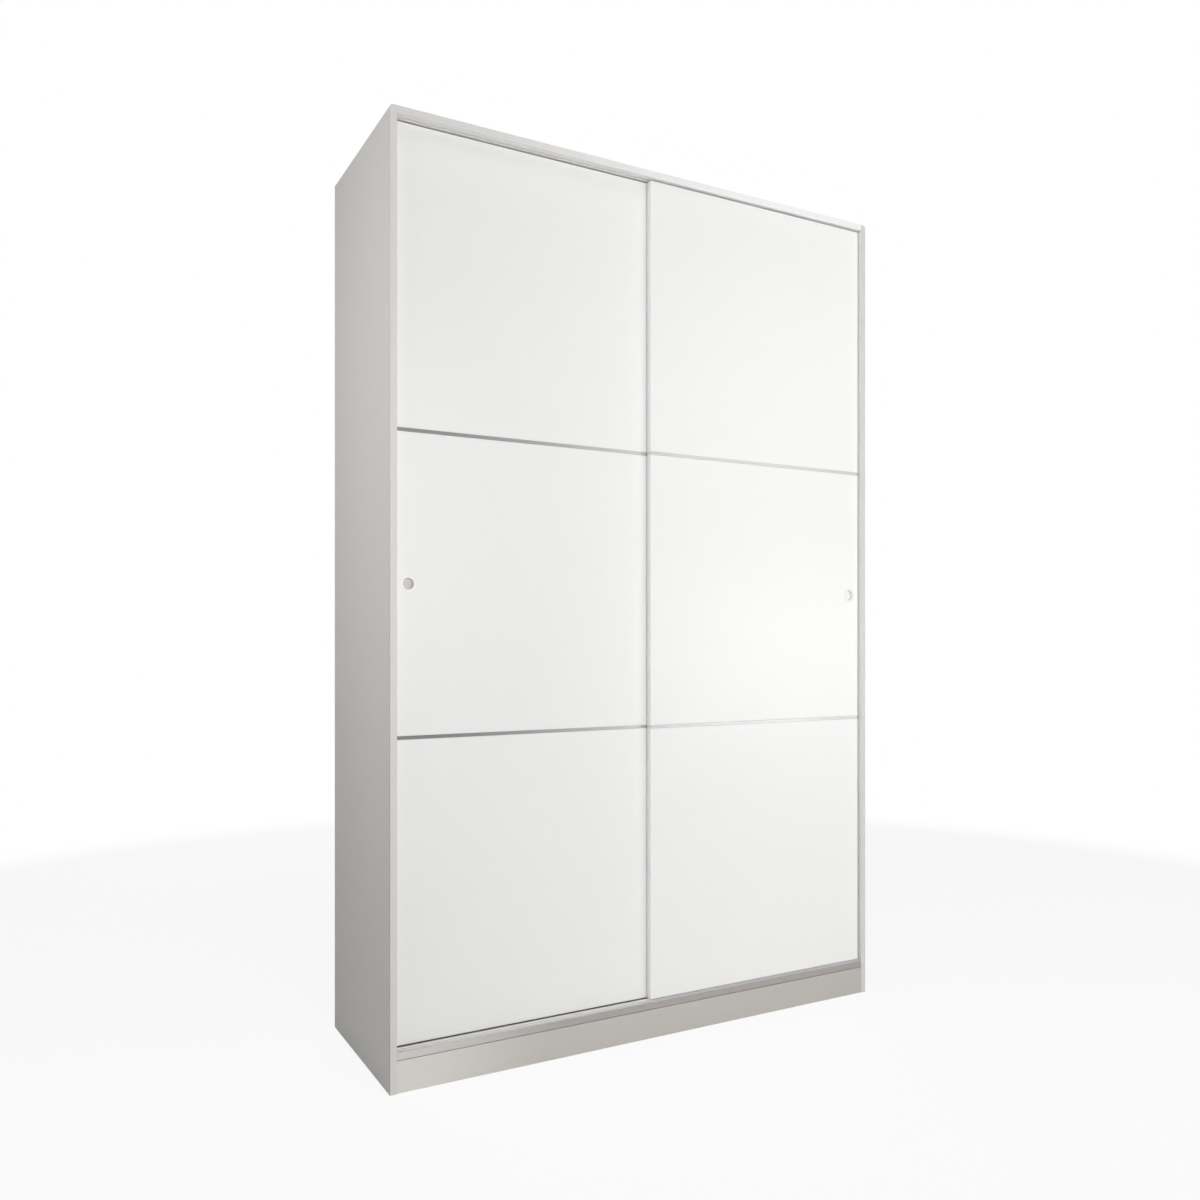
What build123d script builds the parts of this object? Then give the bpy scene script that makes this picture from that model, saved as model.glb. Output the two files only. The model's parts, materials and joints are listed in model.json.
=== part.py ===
from build123d import *
import os

# A free-standing wardrobe with two sliding doors, in millimetres. X runs along the width, Y from the
# front (-Y) to the back, Z up. The origin is the middle of the footprint on the floor.

# ---- Driving dimensions -----------------------------------------------------------------------------

width = 1340.0
depth = 450.0
height = 2100.0
board = 16.0                # thickness of every melamine board
top_corner_radius = 8.0     # rounding of the side panels' outer top corners
band = 1.0                  # thickness of the edge bands
band_rounding = 0.8
plinth_height = 71.0
plinth_setback = 2.0
plinth_top_gap = 2.0        # shadow line between the plinth boards and the bottom panel
back_sheet_thickness = 3.0
nail_head_proud = 0.3

door_side_gap = 2.0         # closed door to side panel
door_overlap = 32.0         # the doors lap by this much in the middle
door_front_setback = 10.0   # front door's face behind the carcass front
door_spacing = 3.0          # clear gap between the two doors
door_floor_gap = 4.0        # bottom panel to the doors' lower edge
door_top_gap = 3.0          # doors' upper edge to the top panel

strip_face = 8.0            # visible width of a joint strip
strip_flange = 1.0
strip_web = 1.5
strip_rounding = 0.4

pull_flange_radius = 19.0
pull_lip_radius = 12.3
pull_barrel_radius = 15.0
pull_cup_radius = 11.4      # cup radius at its floor
pull_depth = 8.5
pull_floor = 1.5
pull_proud = 1.2
pull_crown_start = 0.5      # the crowned flange starts this far proud at the lip
pull_floor_rounding = 1.5
pull_pocket_play = 0.3
pull_edge_distance = 32.0   # pull centre to the door's outer edge

wheel_radius = 11.5
wheel_groove_radius = 10.0
wheel_thickness = 7.0
groove_mouth = 5.2
groove_floor = 3.8
wheel_lift = 0.3                # groove floor above the rail's rib
axle_radius = 2.0
axle_play = 0.05
axle_length = 11.0
axle_chamfer = 0.3
fitting_edge_distance = 50.0    # roller and guide centres to the door's side edges
fitting_depth = 12.0            # housings are let this far into the door's back
wing_thickness = 2.5            # screw wings of the housings

rail_plate_thickness = 1.0
rail_plate_width = 38.0
rib_height = 3.0                # top of a rib above the bottom panel
rib_width = 3.0
rib_rounding = 1.4
rail_screw_count = 6
rail_screw_pitch = 240.0

track_width = 11.0
track_height = 8.0
track_wall = 1.2

interior_setback = 60.0         # divider front edge behind the carcass front
shelf_setback = 65.0
hat_shelf_top = 1750.0
shelf_count = 4
fixed_shelf = 2                 # this shelf is held by cam locks, the others lie on supports
adjustable_shelf_play = 1.0
shelf_back_gap = 1.0

fit_play = 0.05             # round piece in its hole, on the radius
drill_play = 0.1            # housings, cams and pulls in their pockets
cut_over = 1.0              # cutting shapes reach past the faces they open

# ---- Derived places ---------------------------------------------------------------------------------

outer_x = width / 2
inner_x = outer_x - board
front_y = -depth / 2
board_front_y = front_y + band
board_back_y = depth / 2 - nail_head_proud - back_sheet_thickness
plinth_front_y = (front_y + plinth_setback, front_y + plinth_setback + board)
plinth_rear_y = (board_back_y - plinth_setback - board, board_back_y - plinth_setback)
bottom_top_z = plinth_height + board
ceiling_z = height - board
half_board = board / 2

divider_front_y = front_y + interior_setback
shelf_front_y = front_y + shelf_setback
hat_shelf_z = hat_shelf_top - board
shelf_spacing = (ceiling_z - bottom_top_z - shelf_count * board) / (shelf_count + 1)
shelf_bottoms = [
    bottom_top_z + (index + 1) * shelf_spacing + index * board for index in range(shelf_count)
]

door_width = inner_x - door_side_gap + door_overlap / 2
door_bottom_z = bottom_top_z + door_floor_gap
door_top_z = ceiling_z - door_top_gap
door_middle_z = (door_bottom_z + door_top_z) / 2
field_height = (door_top_z - door_bottom_z - 2 * strip_face) / 3
strip_lap = (strip_face - strip_web) / 2
strip_centres = [
    door_bottom_z + field_height + strip_face / 2,
    door_top_z - field_height - strip_face / 2,
]
board_spans = {
    "lower": (door_bottom_z, door_bottom_z + field_height + strip_lap),
    "middle": (strip_centres[0] + strip_web / 2, strip_centres[1] - strip_web / 2),
    "upper": (door_top_z - field_height - strip_lap, door_top_z),
}
fitting_x = door_width / 2 - fitting_edge_distance
fitting_line = board - fitting_depth / 2        # wheels and guide pins, behind a door's face

right_door_front = front_y + door_front_setback
left_door_front = right_door_front + board + door_spacing
track_lines = [right_door_front + fitting_line, left_door_front + fitting_line]

wheel_axis_z = bottom_top_z + rib_height + wheel_lift + wheel_groove_radius

# ---- Joints between boards: cam locks, cam bolts and dowels ------------------------------------------

cam_radius = 7.5
cam_height = 12.3
cam_setback = 24.0          # cam centre to the end of its board
cam_face_recess = 0.2
cam_pocket_depth = 12.8
cam_slot = (9.0, 1.6, 2.5)  # length, width and depth of the screwdriver cross
bolt_radius = 3.3
bolt_head_length = 3.5
bolt_head_play = 0.3
bolt_neck_radius = 1.6
bolt_neck_length = 7.0
bolt_thread_radius = 2.45
bolt_thread_length = 11.0
dowel_radius = 4.0
dowel_length = 28.0
dowel_in_mate = 11.0
dowel_chamfer = 0.6
dowel_end_gap = 1.0

joint_lines_y = (-110.0, 150.0)
dowel_offset = 32.0
plinth_cam_z = 45.0
plinth_dowel_z = 18.0

# ---- Screws and other small fittings ------------------------------------------------------------------

screw_head_radius = 3.4
screw_head_rim = 0.3
screw_head_height = 2.0
screw_radius = 1.7
screw_length = 13.0
screw_point = 2.0
screw_recess = (4.2, 0.9, 1.2)
screw_hole_reach = 4.0      # depth of a screw's hole through the piece that it holds

bracket_x = 330.0
bracket_width = 34.0
bracket_thickness = 2.0
bracket_drop = 42.0
bracket_reach = 32.0
bracket_rounding = 8.5
bracket_screw_setback = 19.0
bracket_screw_offset = 9.0
bracket_hole_z = 2058.0
wall_hole_radius = 3.0

hanging_rail_y = 28.0
hanging_rail_z = hat_shelf_z - 60.0
hanging_rail_size = (30.0, 15.0)
hanging_rail_wall = 1.2
socket_plate = 2.5
socket_collar_length = 12.0
socket_wall = 2.0
socket_play = 0.2
socket_plate_size = (24.0, 62.0)
socket_rounding = 11.0
socket_screw_offset = 25.0

support_lines_y = (-120.0, 170.0)
support_hole_radius = 2.5
support_hole_pitch = 32.0
support_hole_depth = 12.0
support_stem_z = -5.0
support_stem_length = 8.0
support_width = 10.0
support_cheek = (1.5, 10.0)     # thickness and height
support_pad = (9.0, 1.5)        # reach and thickness

nail_rows = 10
nail_row_margin = 15.0
nail_head_radius = 2.5
nail_head_thickness = 1.0
nail_radius = 0.7
nail_length = 17.0

back_sheet_seam = 1.0
back_sheet_margin = 2.0

bumper_radius = 4.0
bumper_rounding = 1.0
bumper_clearance = 0.4      # a closed door's edge to its bumpers
bumper_end_distance = 200.0

# Guide housings and pins, heights below the door's upper edge.
guide_height = 46.0
guide_body_width = 14.0
guide_wing_width = 34.0
guide_cap = 3.0
guide_floor = 3.0
guide_bore_radius = 4.5
guide_stem_hole_radius = 3.8
guide_screw_x = 12.0
guide_screw_drop = 29.0
pin_radius = 3.6
pin_rounding = 1.5
pin_piston_radius = 4.2
pin_piston_drops = (3.5, 17.0)
pin_tail_radius = 2.2
pin_tail_length = 10.0
pin_proud = 8.5
pin_travel = 8.0
tab_width = 4.0
tab_drops = (9.0, 16.0)
tab_play = 0.5
spring_coil_radius = 3.4
spring_wire_radius = 0.45
spring_lift = 0.1
spring_pitch = 3.5
spring_turns = 7

# Roller housings, heights above the door's lower edge.
roller_height = 28.0
roller_body_width = 34.0
roller_wing_width = 60.0
roller_screw_x = 23.5
roller_slot = (26.0, 8.0)
roller_slot_clearance = 0.7


def block(x_span, y_span, z_span):
    """A rectangular block that fills three spans."""
    centre = [sum(span) / 2 for span in (x_span, y_span, z_span)]
    size = [span[1] - span[0] for span in (x_span, y_span, z_span)]
    return Pos(*centre) * Box(*size)


def rod(start, direction, radius, length):
    """A round bar from a point along a direction."""
    base = (Align.CENTER, Align.CENTER, Align.MIN)
    return Plane(origin=start, z_dir=direction).location * Cylinder(radius, length, align=base)


def turned(points, axis_plane):
    """A turned solid: points are (radius, distance along the axis), and the axis is the plane's y."""
    outline = make_face(Polyline(*points, close=True))
    return axis_plane.location * revolve(outline, Axis.Y)


def joint_frame(point, towards, face):
    """A frame on a board's end: x runs into the neighbouring board, z out of the face with the cam."""
    return Plane(origin=point, x_dir=towards, z_dir=face).location


LEFT, RIGHT = (-1, 0, 0), (1, 0, 0)
FRONT, BACK = (0, -1, 0), (0, 1, 0)
DOWN, UP = (0, 0, -1), (0, 0, 1)


def board_ends():
    """Every cam-locked board end: its board, the neighbour, the end's place, direction and cam face."""
    fixed_z = shelf_bottoms[fixed_shelf - 1] + half_board
    top_z = ceiling_z + half_board
    bottom_z = plinth_height + half_board
    hat_z = hat_shelf_z + half_board
    fixed_name = f"shelf_{fixed_shelf}"
    return [
        ("top_panel", "side_panel_left", (-inner_x, 0, top_z), LEFT, UP),
        ("top_panel", "side_panel_right", (inner_x, 0, top_z), RIGHT, UP),
        ("bottom_panel", "side_panel_left", (-inner_x, 0, bottom_z), LEFT, DOWN),
        ("bottom_panel", "side_panel_right", (inner_x, 0, bottom_z), RIGHT, DOWN),
        ("centre_divider", "top_panel", (0, 0, ceiling_z), UP, LEFT),
        ("centre_divider", "bottom_panel", (0, 0, bottom_top_z), DOWN, LEFT),
        ("hat_shelf", "side_panel_left", (-inner_x, 0, hat_z), LEFT, DOWN),
        ("hat_shelf", "centre_divider", (-half_board, 0, hat_z), RIGHT, DOWN),
        (fixed_name, "centre_divider", (half_board, 0, fixed_z), LEFT, DOWN),
        (fixed_name, "side_panel_right", (inner_x, 0, fixed_z), RIGHT, DOWN),
    ]


def plinth_ends():
    """The plinth boards' ends: board, neighbour, x of the end, y of the board, direction and cam face."""
    ends = []
    for name, span, face in (("plinth_front", plinth_front_y, BACK), ("plinth_rear", plinth_rear_y, FRONT)):
        middle = sum(span) / 2
        ends.append((name, "side_panel_left", -inner_x, middle, LEFT, face))
        ends.append((name, "side_panel_right", inner_x, middle, RIGHT, face))
    return ends


def cam_joints():
    """Board, neighbour and frame of every cam lock."""
    joints = []
    for name, mate, (x, _, z), towards, face in board_ends():
        for y in joint_lines_y:
            joints.append((name, mate, joint_frame((x, y, z), towards, face)))
    for name, mate, x, y, towards, face in plinth_ends():
        joints.append((name, mate, joint_frame((x, y, plinth_cam_z), towards, face)))
    return joints


def dowel_joints():
    """Board, neighbour and frame of every dowel."""
    joints = []
    for name, mate, (x, _, z), towards, face in board_ends():
        for y in joint_lines_y:
            joints.append((name, mate, joint_frame((x, y + dowel_offset, z), towards, face)))
    for name, mate, x, y, towards, face in plinth_ends():
        joints.append((name, mate, joint_frame((x, y, plinth_dowel_z), towards, face)))
    for z in (plinth_dowel_z, plinth_cam_z):
        front_end = joint_frame((0, plinth_front_y[1], z), FRONT, RIGHT)
        rear_end = joint_frame((0, plinth_rear_y[0], z), BACK, RIGHT)
        joints.append(("plinth_brace", "plinth_front", front_end))
        joints.append(("plinth_brace", "plinth_rear", rear_end))
    return joints


CAM_JOINTS = cam_joints()
DOWEL_JOINTS = dowel_joints()


def cam_lock():
    """A zinc cam: a drum with a cross slot in its face and a bore for the bolt's head."""
    face = half_board - cam_face_recess
    drum = rod((-cam_setback, 0, face - cam_height), UP, cam_radius, cam_height)
    bore_start = -cam_setback - bolt_head_length
    bore = rod((bore_start, 0, 0), RIGHT, bolt_radius + bolt_head_play, -bore_start)
    length, width_across, slot_depth = cam_slot
    cross = Box(length, width_across, 2 * slot_depth) + Box(width_across, length, 2 * slot_depth)
    return drum - bore - Pos(-cam_setback, 0, face) * cross


def cam_bolt():
    """A cam bolt: a round head, a thin neck, a shaft and a threaded end in the neighbouring board."""
    head_start = -cam_setback - bolt_head_length / 2
    neck_start = head_start + bolt_head_length
    shaft_start = neck_start + bolt_neck_length
    head = rod((head_start, 0, 0), RIGHT, bolt_radius, bolt_head_length)
    neck = rod((neck_start, 0, 0), RIGHT, bolt_neck_radius, bolt_neck_length)
    shaft = rod((shaft_start, 0, 0), RIGHT, bolt_radius, -shaft_start)
    thread = rod((0, 0, 0), RIGHT, bolt_thread_radius, bolt_thread_length)
    return head + neck + shaft + thread


def cam_drilling():
    """What the cam and the bolt's shaft take out of their own board."""
    pocket_floor = half_board - cam_pocket_depth
    pocket = rod((-cam_setback, 0, pocket_floor), UP, cam_radius + drill_play, board)
    bore = rod((-cam_setback, 0, 0), RIGHT, bolt_radius + drill_play, cam_setback)
    return pocket + bore


def bolt_drilling():
    """The hole for the bolt's thread in the neighbouring board."""
    return rod((0, 0, 0), RIGHT, bolt_thread_radius + fit_play, bolt_thread_length + cut_over)


def dowel():
    """A wood dowel with its ends in two boards."""
    pin = rod((dowel_in_mate - dowel_length, 0, 0), RIGHT, dowel_radius, dowel_length)
    return chamfer(pin.edges(), dowel_chamfer)


def dowel_drilling():
    """The dowel's hole through both boards."""
    start = dowel_in_mate - dowel_length - dowel_end_gap
    return rod((start, 0, 0), RIGHT, dowel_radius + fit_play, dowel_length + 2 * dowel_end_gap)


# ---- Screws: each frame lies on the head's face, and z points out of it --------------------------------


def screw_frame(point, out):
    """The frame of a screw whose head faces out."""
    return Plane(origin=point, z_dir=out).location


def socket_screws():
    """Frames of the hanging rail's screws, two in each socket."""
    frames = []
    for z in (hanging_rail_z - socket_screw_offset, hanging_rail_z + socket_screw_offset):
        frames.append(("side_panel_left", screw_frame((-inner_x + socket_plate, hanging_rail_y, z), RIGHT)))
        frames.append(("centre_divider", screw_frame((-half_board - socket_plate, hanging_rail_y, z), LEFT)))
    return frames


def bracket_screws():
    """Frames of the wall brackets' screws, two in each bracket."""
    frames = []
    y = board_back_y - bracket_screw_setback
    for side in (-1, 1):
        for offset in (-bracket_screw_offset, bracket_screw_offset):
            point = (side * bracket_x + offset, y, ceiling_z - bracket_thickness)
            frames.append(("top_panel", screw_frame(point, DOWN)))
    return frames


def rail_screws():
    """Frames of the bottom rail's screws, in one line between the ribs."""
    line_y = sum(track_lines) / 2
    frames = []
    for index in range(rail_screw_count):
        x = (index - (rail_screw_count - 1) / 2) * rail_screw_pitch
        point = (x, line_y, bottom_top_z + rail_plate_thickness)
        frames.append(("bottom_panel", screw_frame(point, UP)))
    return frames


CARCASS_SCREWS = socket_screws() + bracket_screws() + rail_screws()


def screw():
    """A countersunk chipboard screw with a cross recess."""
    outline = [
        (0, 0),
        (screw_head_radius, 0),
        (screw_head_radius, -screw_head_rim),
        (screw_radius, -screw_head_height),
        (screw_radius, -screw_length + screw_point),
        (0, -screw_length),
    ]
    length, width_across, recess_depth = screw_recess
    cross = Box(length, width_across, 2 * recess_depth) + Box(width_across, length, 2 * recess_depth)
    return turned(outline, Plane.XZ) - cross


def countersink():
    """The countersunk hole of a screw in the piece that it holds."""
    outline = [
        (0, cut_over),
        (screw_head_radius + fit_play, cut_over),
        (screw_head_radius + fit_play, -screw_head_rim),
        (screw_radius + fit_play, -screw_head_height),
        (screw_radius + fit_play, -screw_hole_reach),
        (0, -screw_hole_reach),
    ]
    return turned(outline, Plane.XZ)


def pilot_hole():
    """The hole that a screw leaves in a board, with the sink of its head where the held piece is thin."""
    return countersink() + rod((0, 0, 0), DOWN, screw_radius + fit_play, screw_length + cut_over)


def drilled(name, panel):
    """A board with every hole that its cams, bolts, dowels and screws need."""
    for owner, mate, frame in CAM_JOINTS:
        if name == owner:
            panel -= frame * cam_drilling()
        if name == mate:
            panel -= frame * bolt_drilling()
    for owner, mate, frame in DOWEL_JOINTS:
        if name in (owner, mate):
            panel -= frame * dowel_drilling()
    for owner, frame in CARCASS_SCREWS:
        if name == owner:
            panel -= frame * pilot_hole()
    return panel


# ---- Carcass --------------------------------------------------------------------------------------------


def support_frames():
    """Frames of the shelf supports: x points out of the wall, z = 0 is the shelf's underside."""
    frames = []
    for index, bottom in enumerate(shelf_bottoms, start=1):
        if index == fixed_shelf:
            continue
        for y in support_lines_y:
            frames.append(("centre_divider", Pos(half_board, y, bottom)))
            frames.append(("side_panel_right", Pos(inner_x, y, bottom) * Rot(0, 0, 180)))
    return frames


SUPPORTS = support_frames()


def support_holes(name, panel):
    """Rows of three support holes, so that each loose shelf can move one step up or down."""
    for owner, frame in SUPPORTS:
        if name != owner:
            continue
        for step in (-1, 0, 1):
            start = (0, 0, support_stem_z + step * support_hole_pitch)
            panel -= frame * rod(start, LEFT, support_hole_radius + fit_play, support_hole_depth)
    return panel


def rounded_top_corner(solid, side):
    """A side panel or its band with the outer top corner rounded from front to back."""
    top_edges = solid.edges().filter_by(Axis.Y).group_by(Axis.Z)[-1]
    return fillet(top_edges.sort_by(Axis.X)[0 if side < 0 else -1], top_corner_radius)


def side_panel(name, side):
    x_span = sorted((side * outer_x, side * inner_x))
    panel = rounded_top_corner(block(x_span, (board_front_y, board_back_y), (0, height)), side)
    return support_holes(name, drilled(name, panel))


def top_panel():
    """The top board, with two grooves in its underside for the guide tracks."""
    panel = block((-inner_x, inner_x), (board_front_y, board_back_y), (ceiling_z, height))
    for line in track_lines:
        y_span = (line - track_width / 2, line + track_width / 2)
        panel -= block((-inner_x, inner_x), y_span, (ceiling_z, ceiling_z + track_height))
    return drilled("top_panel", panel)


def bottom_panel():
    panel = block((-inner_x, inner_x), (board_front_y, board_back_y), (plinth_height, bottom_top_z))
    return drilled("bottom_panel", panel)


def centre_divider():
    panel = block(
        (-half_board, half_board), (divider_front_y + band, board_back_y), (bottom_top_z, ceiling_z)
    )
    return support_holes("centre_divider", drilled("centre_divider", panel))


def plinth_board(name, y_span):
    return drilled(name, block((-inner_x, inner_x), y_span, (0, plinth_height - plinth_top_gap)))


def plinth_brace():
    """The board between the plinth boards. It is full height, and carries the bottom panel's middle."""
    panel = block((-half_board, half_board), (plinth_front_y[1], plinth_rear_y[0]), (0, plinth_height))
    return drilled("plinth_brace", panel)


def hat_shelf():
    panel = block(
        (-inner_x, -half_board), (shelf_front_y + band, board_back_y), (hat_shelf_z, hat_shelf_top)
    )
    return drilled("hat_shelf", panel)


def shelf_x_span(index):
    """A fixed shelf fills its bay, and a loose one has a little play."""
    play = 0 if index == fixed_shelf else adjustable_shelf_play
    return (half_board + play, inner_x - play)


def shelf(index):
    bottom = shelf_bottoms[index - 1]
    panel = block(
        shelf_x_span(index), (shelf_front_y + band, board_back_y - shelf_back_gap), (bottom, bottom + board)
    )
    return drilled(f"shelf_{index}", panel)


def wall_hole(side, wall):
    """The wall screw's hole: through the bracket, which is before the sheet's plane, and the sheet."""
    start = (side * bracket_x, board_back_y - bracket_thickness - cut_over, bracket_hole_z)
    return rod(start, BACK, wall_hole_radius, bracket_thickness + wall + 2 * cut_over)


def back_sheet(side):
    """One of the two thin sheets that meet on the divider's back edge, with its wall screw's hole."""
    x_span = sorted((side * back_sheet_seam / 2, side * (outer_x - back_sheet_margin)))
    y_span = (board_back_y, board_back_y + back_sheet_thickness)
    z_span = (plinth_height + back_sheet_margin, height - back_sheet_margin)
    return block(x_span, y_span, z_span) - wall_hole(side, back_sheet_thickness)


def banded_edge(x_span, z_span, front):
    """An edge band on a board's front edge, with its two long front edges rounded."""
    strip = block(x_span, (front, front + band), z_span)
    long_axis = Axis.X if x_span[1] - x_span[0] > z_span[1] - z_span[0] else Axis.Z
    front_edges = strip.edges().filter_by(long_axis).group_by(Axis.Y)[0]
    return fillet(front_edges, band_rounding)


def side_band(side):
    """The band on a side panel, which follows the rounded top corner."""
    x_span = sorted((side * outer_x, side * inner_x))
    strip = rounded_top_corner(block(x_span, (front_y, front_y + band), (0, height)), side)
    front_edges = strip.edges().filter_by(Axis.Z).group_by(Axis.Y)[0]
    corner_edge = strip.edges().filter_by(GeomType.CIRCLE).group_by(Axis.Y)[0]
    return fillet(front_edges + corner_edge, band_rounding)


def edge_bands():
    """The bands on the front edges of the carcass, the divider and the shelves."""
    bands = [
        side_band(-1),
        side_band(1),
        banded_edge((-inner_x, inner_x), (ceiling_z, height), front_y),
        banded_edge((-inner_x, inner_x), (plinth_height, bottom_top_z), front_y),
        banded_edge((-half_board, half_board), (bottom_top_z, ceiling_z), divider_front_y),
        banded_edge((-inner_x, -half_board), (hat_shelf_z, hat_shelf_top), shelf_front_y),
    ]
    for index, bottom in enumerate(shelf_bottoms, start=1):
        bands.append(banded_edge(shelf_x_span(index), (bottom, bottom + board), shelf_front_y))
    return bands


def top_tracks():
    """Two U-channels let into the top panel's underside, open downwards."""
    tracks = []
    for line in track_lines:
        outer = (line - track_width / 2, line + track_width / 2)
        inner = (outer[0] + track_wall, outer[1] - track_wall)
        channel = block((-inner_x, inner_x), outer, (ceiling_z, ceiling_z + track_height))
        hollow = block((-inner_x, inner_x), inner, (ceiling_z, ceiling_z + track_height - track_wall))
        tracks.append(channel - hollow)
    return tracks


def bottom_rail():
    """A thin plate with two round-topped ribs, one under each door."""
    middle = sum(track_lines) / 2
    y_span = (middle - rail_plate_width / 2, middle + rail_plate_width / 2)
    rail = block((-inner_x, inner_x), y_span, (bottom_top_z, bottom_top_z + rail_plate_thickness))
    for line in track_lines:
        rib = block(
            (-inner_x, inner_x),
            (line - rib_width / 2, line + rib_width / 2),
            (bottom_top_z + rail_plate_thickness, bottom_top_z + rib_height),
        )
        rib = fillet(rib.edges().filter_by(Axis.X).group_by(Axis.Z)[-1], rib_rounding)
        rail += rib
    for _, frame in rail_screws():
        rail -= frame * countersink()
    return rail


def oval_bar(size, x_span):
    """A bar of oval section, upright, along X."""
    section = Plane.YZ.offset(x_span[0]).location * Rot(0, 0, 90) * SlotOverall(*size)
    return extrude(section, amount=x_span[1] - x_span[0])


def hanging_rail():
    x_span = (-inner_x + socket_plate, -half_board - socket_plate)
    inner_size = [side - 2 * hanging_rail_wall for side in hanging_rail_size]
    tube = oval_bar(hanging_rail_size, x_span) - oval_bar(inner_size, x_span)
    return Pos(0, hanging_rail_y, hanging_rail_z) * tube


def rail_sockets():
    """Two screwed sockets, each a plate with an oval collar round the rail's end."""
    sockets = []
    for wall, direction in ((-inner_x, 1), (-half_board, -1)):
        plate_span = sorted((wall, wall + direction * socket_plate))
        collar_span = sorted((wall, wall + direction * socket_collar_length))
        inner_size = [side + socket_play for side in hanging_rail_size]
        outer_size = [side + 2 * socket_wall for side in inner_size]
        collar = oval_bar(outer_size, collar_span) - oval_bar(inner_size, collar_span)
        half_y, half_z = socket_plate_size[0] / 2, socket_plate_size[1] / 2
        plate = block(plate_span, (-half_y, half_y), (-half_z, half_z))
        plate = fillet(plate.edges().filter_by(Axis.X), socket_rounding)
        sockets.append(Pos(0, hanging_rail_y, hanging_rail_z) * (plate + collar))
    for _, frame in socket_screws():
        sockets = [socket - frame * countersink() for socket in sockets]
    return sockets


def wall_brackets():
    """Two steel angles under the top panel that hold the wardrobe to a wall."""
    brackets = []
    for side in (-1, 1):
        x = side * bracket_x
        x_span = (x - bracket_width / 2, x + bracket_width / 2)
        flat = block(
            x_span, (board_back_y - bracket_reach, board_back_y), (ceiling_z - bracket_thickness, ceiling_z)
        )
        upright = block(
            x_span, (board_back_y - bracket_thickness, board_back_y), (ceiling_z - bracket_drop, ceiling_z)
        )
        lower_corners = upright.edges().filter_by(Axis.Y).group_by(Axis.Z)[0]
        upright = fillet(lower_corners, bracket_rounding)
        brackets.append(flat + upright - wall_hole(side, 0))
    for _, frame in bracket_screws():
        brackets = [bracket - frame * countersink() for bracket in brackets]
    return brackets


def shelf_support():
    """A steel L-support: a stem in the wall, a cheek against it and a pad under the shelf."""
    cheek_thickness, cheek_height = support_cheek
    pad_reach, pad_thickness = support_pad
    y_span = (-support_width / 2, support_width / 2)
    stem_start = (cheek_thickness / 2, 0, support_stem_z)
    stem = rod(stem_start, LEFT, support_hole_radius, support_stem_length)
    cheek = block((0, cheek_thickness), y_span, (-cheek_height, 0))
    pad = block((0, pad_reach), y_span, (-pad_thickness, 0))
    return stem + cheek + pad


def back_nail():
    """A flat-headed nail along -Y, its head's outer face at the origin."""
    head = rod((0, 0, 0), FRONT, nail_head_radius, nail_head_thickness)
    shank = rod((0, -nail_head_thickness / 2, 0), FRONT, nail_radius, nail_length)
    return head + shank


def nail_places():
    """Nails round each back sheet: down the side and the divider, and along the top and bottom."""
    places = []
    low_z, high_z = plinth_height + half_board, height - half_board
    pitch = (high_z - low_z - 2 * nail_row_margin) / (nail_rows - 1)
    for side in (-1, 1):
        for row in range(nail_rows):
            z = low_z + nail_row_margin + row * pitch
            places.append((side * (outer_x - half_board), z))
            places.append((side * half_board / 2, z))
        for column in (1, 2, 3):
            x = side * column * outer_x / 4
            places.append((x, low_z))
            places.append((x, high_z))
    return places


def door_bumpers():
    """Small rubber dots on the side panels, where each door's edge arrives."""
    bumpers = []
    thickness = door_side_gap - bumper_clearance
    lines = (right_door_front + half_board, left_door_front + half_board)
    for side, out in ((-1, RIGHT), (1, LEFT)):
        for y in lines:
            for z in (door_bottom_z + bumper_end_distance, door_top_z - bumper_end_distance):
                dot = rod((side * inner_x, y, z), out, bumper_radius, thickness)
                rim = dot.edges().filter_by(GeomType.CIRCLE).sort_by(Axis.X)[0 if side > 0 else -1]
                bumpers.append(fillet(rim, bumper_rounding))
    return bumpers


# ---- Doors: x = 0 at the door's middle, y = 0 on its front face, true heights --------------------------


def housing_shape(body_width, wing_width, z_span, play):
    """A housing let into the door's back: a deep body and shallow wings, larger by the play."""
    half_body, half_wing = body_width / 2 + play, wing_width / 2 + play
    span = (z_span[0] - play, z_span[1] + play)
    body = block((-half_body, half_body), (board - fitting_depth - play, board), span)
    wings = block((-half_wing, half_wing), (board - wing_thickness - play, board), span)
    return body + wings


def roller_shape(play):
    span = (door_bottom_z, door_bottom_z + roller_height)
    return housing_shape(roller_body_width, roller_wing_width, span, play)


def guide_shape(play):
    span = (door_top_z - guide_height, door_top_z)
    return housing_shape(guide_body_width, guide_wing_width, span, play)


def roller_screws():
    z = door_bottom_z + roller_height / 2
    return [screw_frame((offset, board, z), BACK) for offset in (-roller_screw_x, roller_screw_x)]


def guide_screws():
    z = door_top_z - guide_screw_drop
    return [screw_frame((offset, board, z), BACK) for offset in (-guide_screw_x, guide_screw_x)]


def fitting_places():
    """Where a door's two rollers and two guides are."""
    return (Pos(-fitting_x, 0, 0), Pos(fitting_x, 0, 0))


def door_screw_frames():
    frames = []
    for place in fitting_places():
        frames += [place * frame for frame in roller_screws() + guide_screws()]
    return frames


def pull_place(side):
    return Pos(side * (door_width / 2 - pull_edge_distance), 0, door_middle_z)


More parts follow.
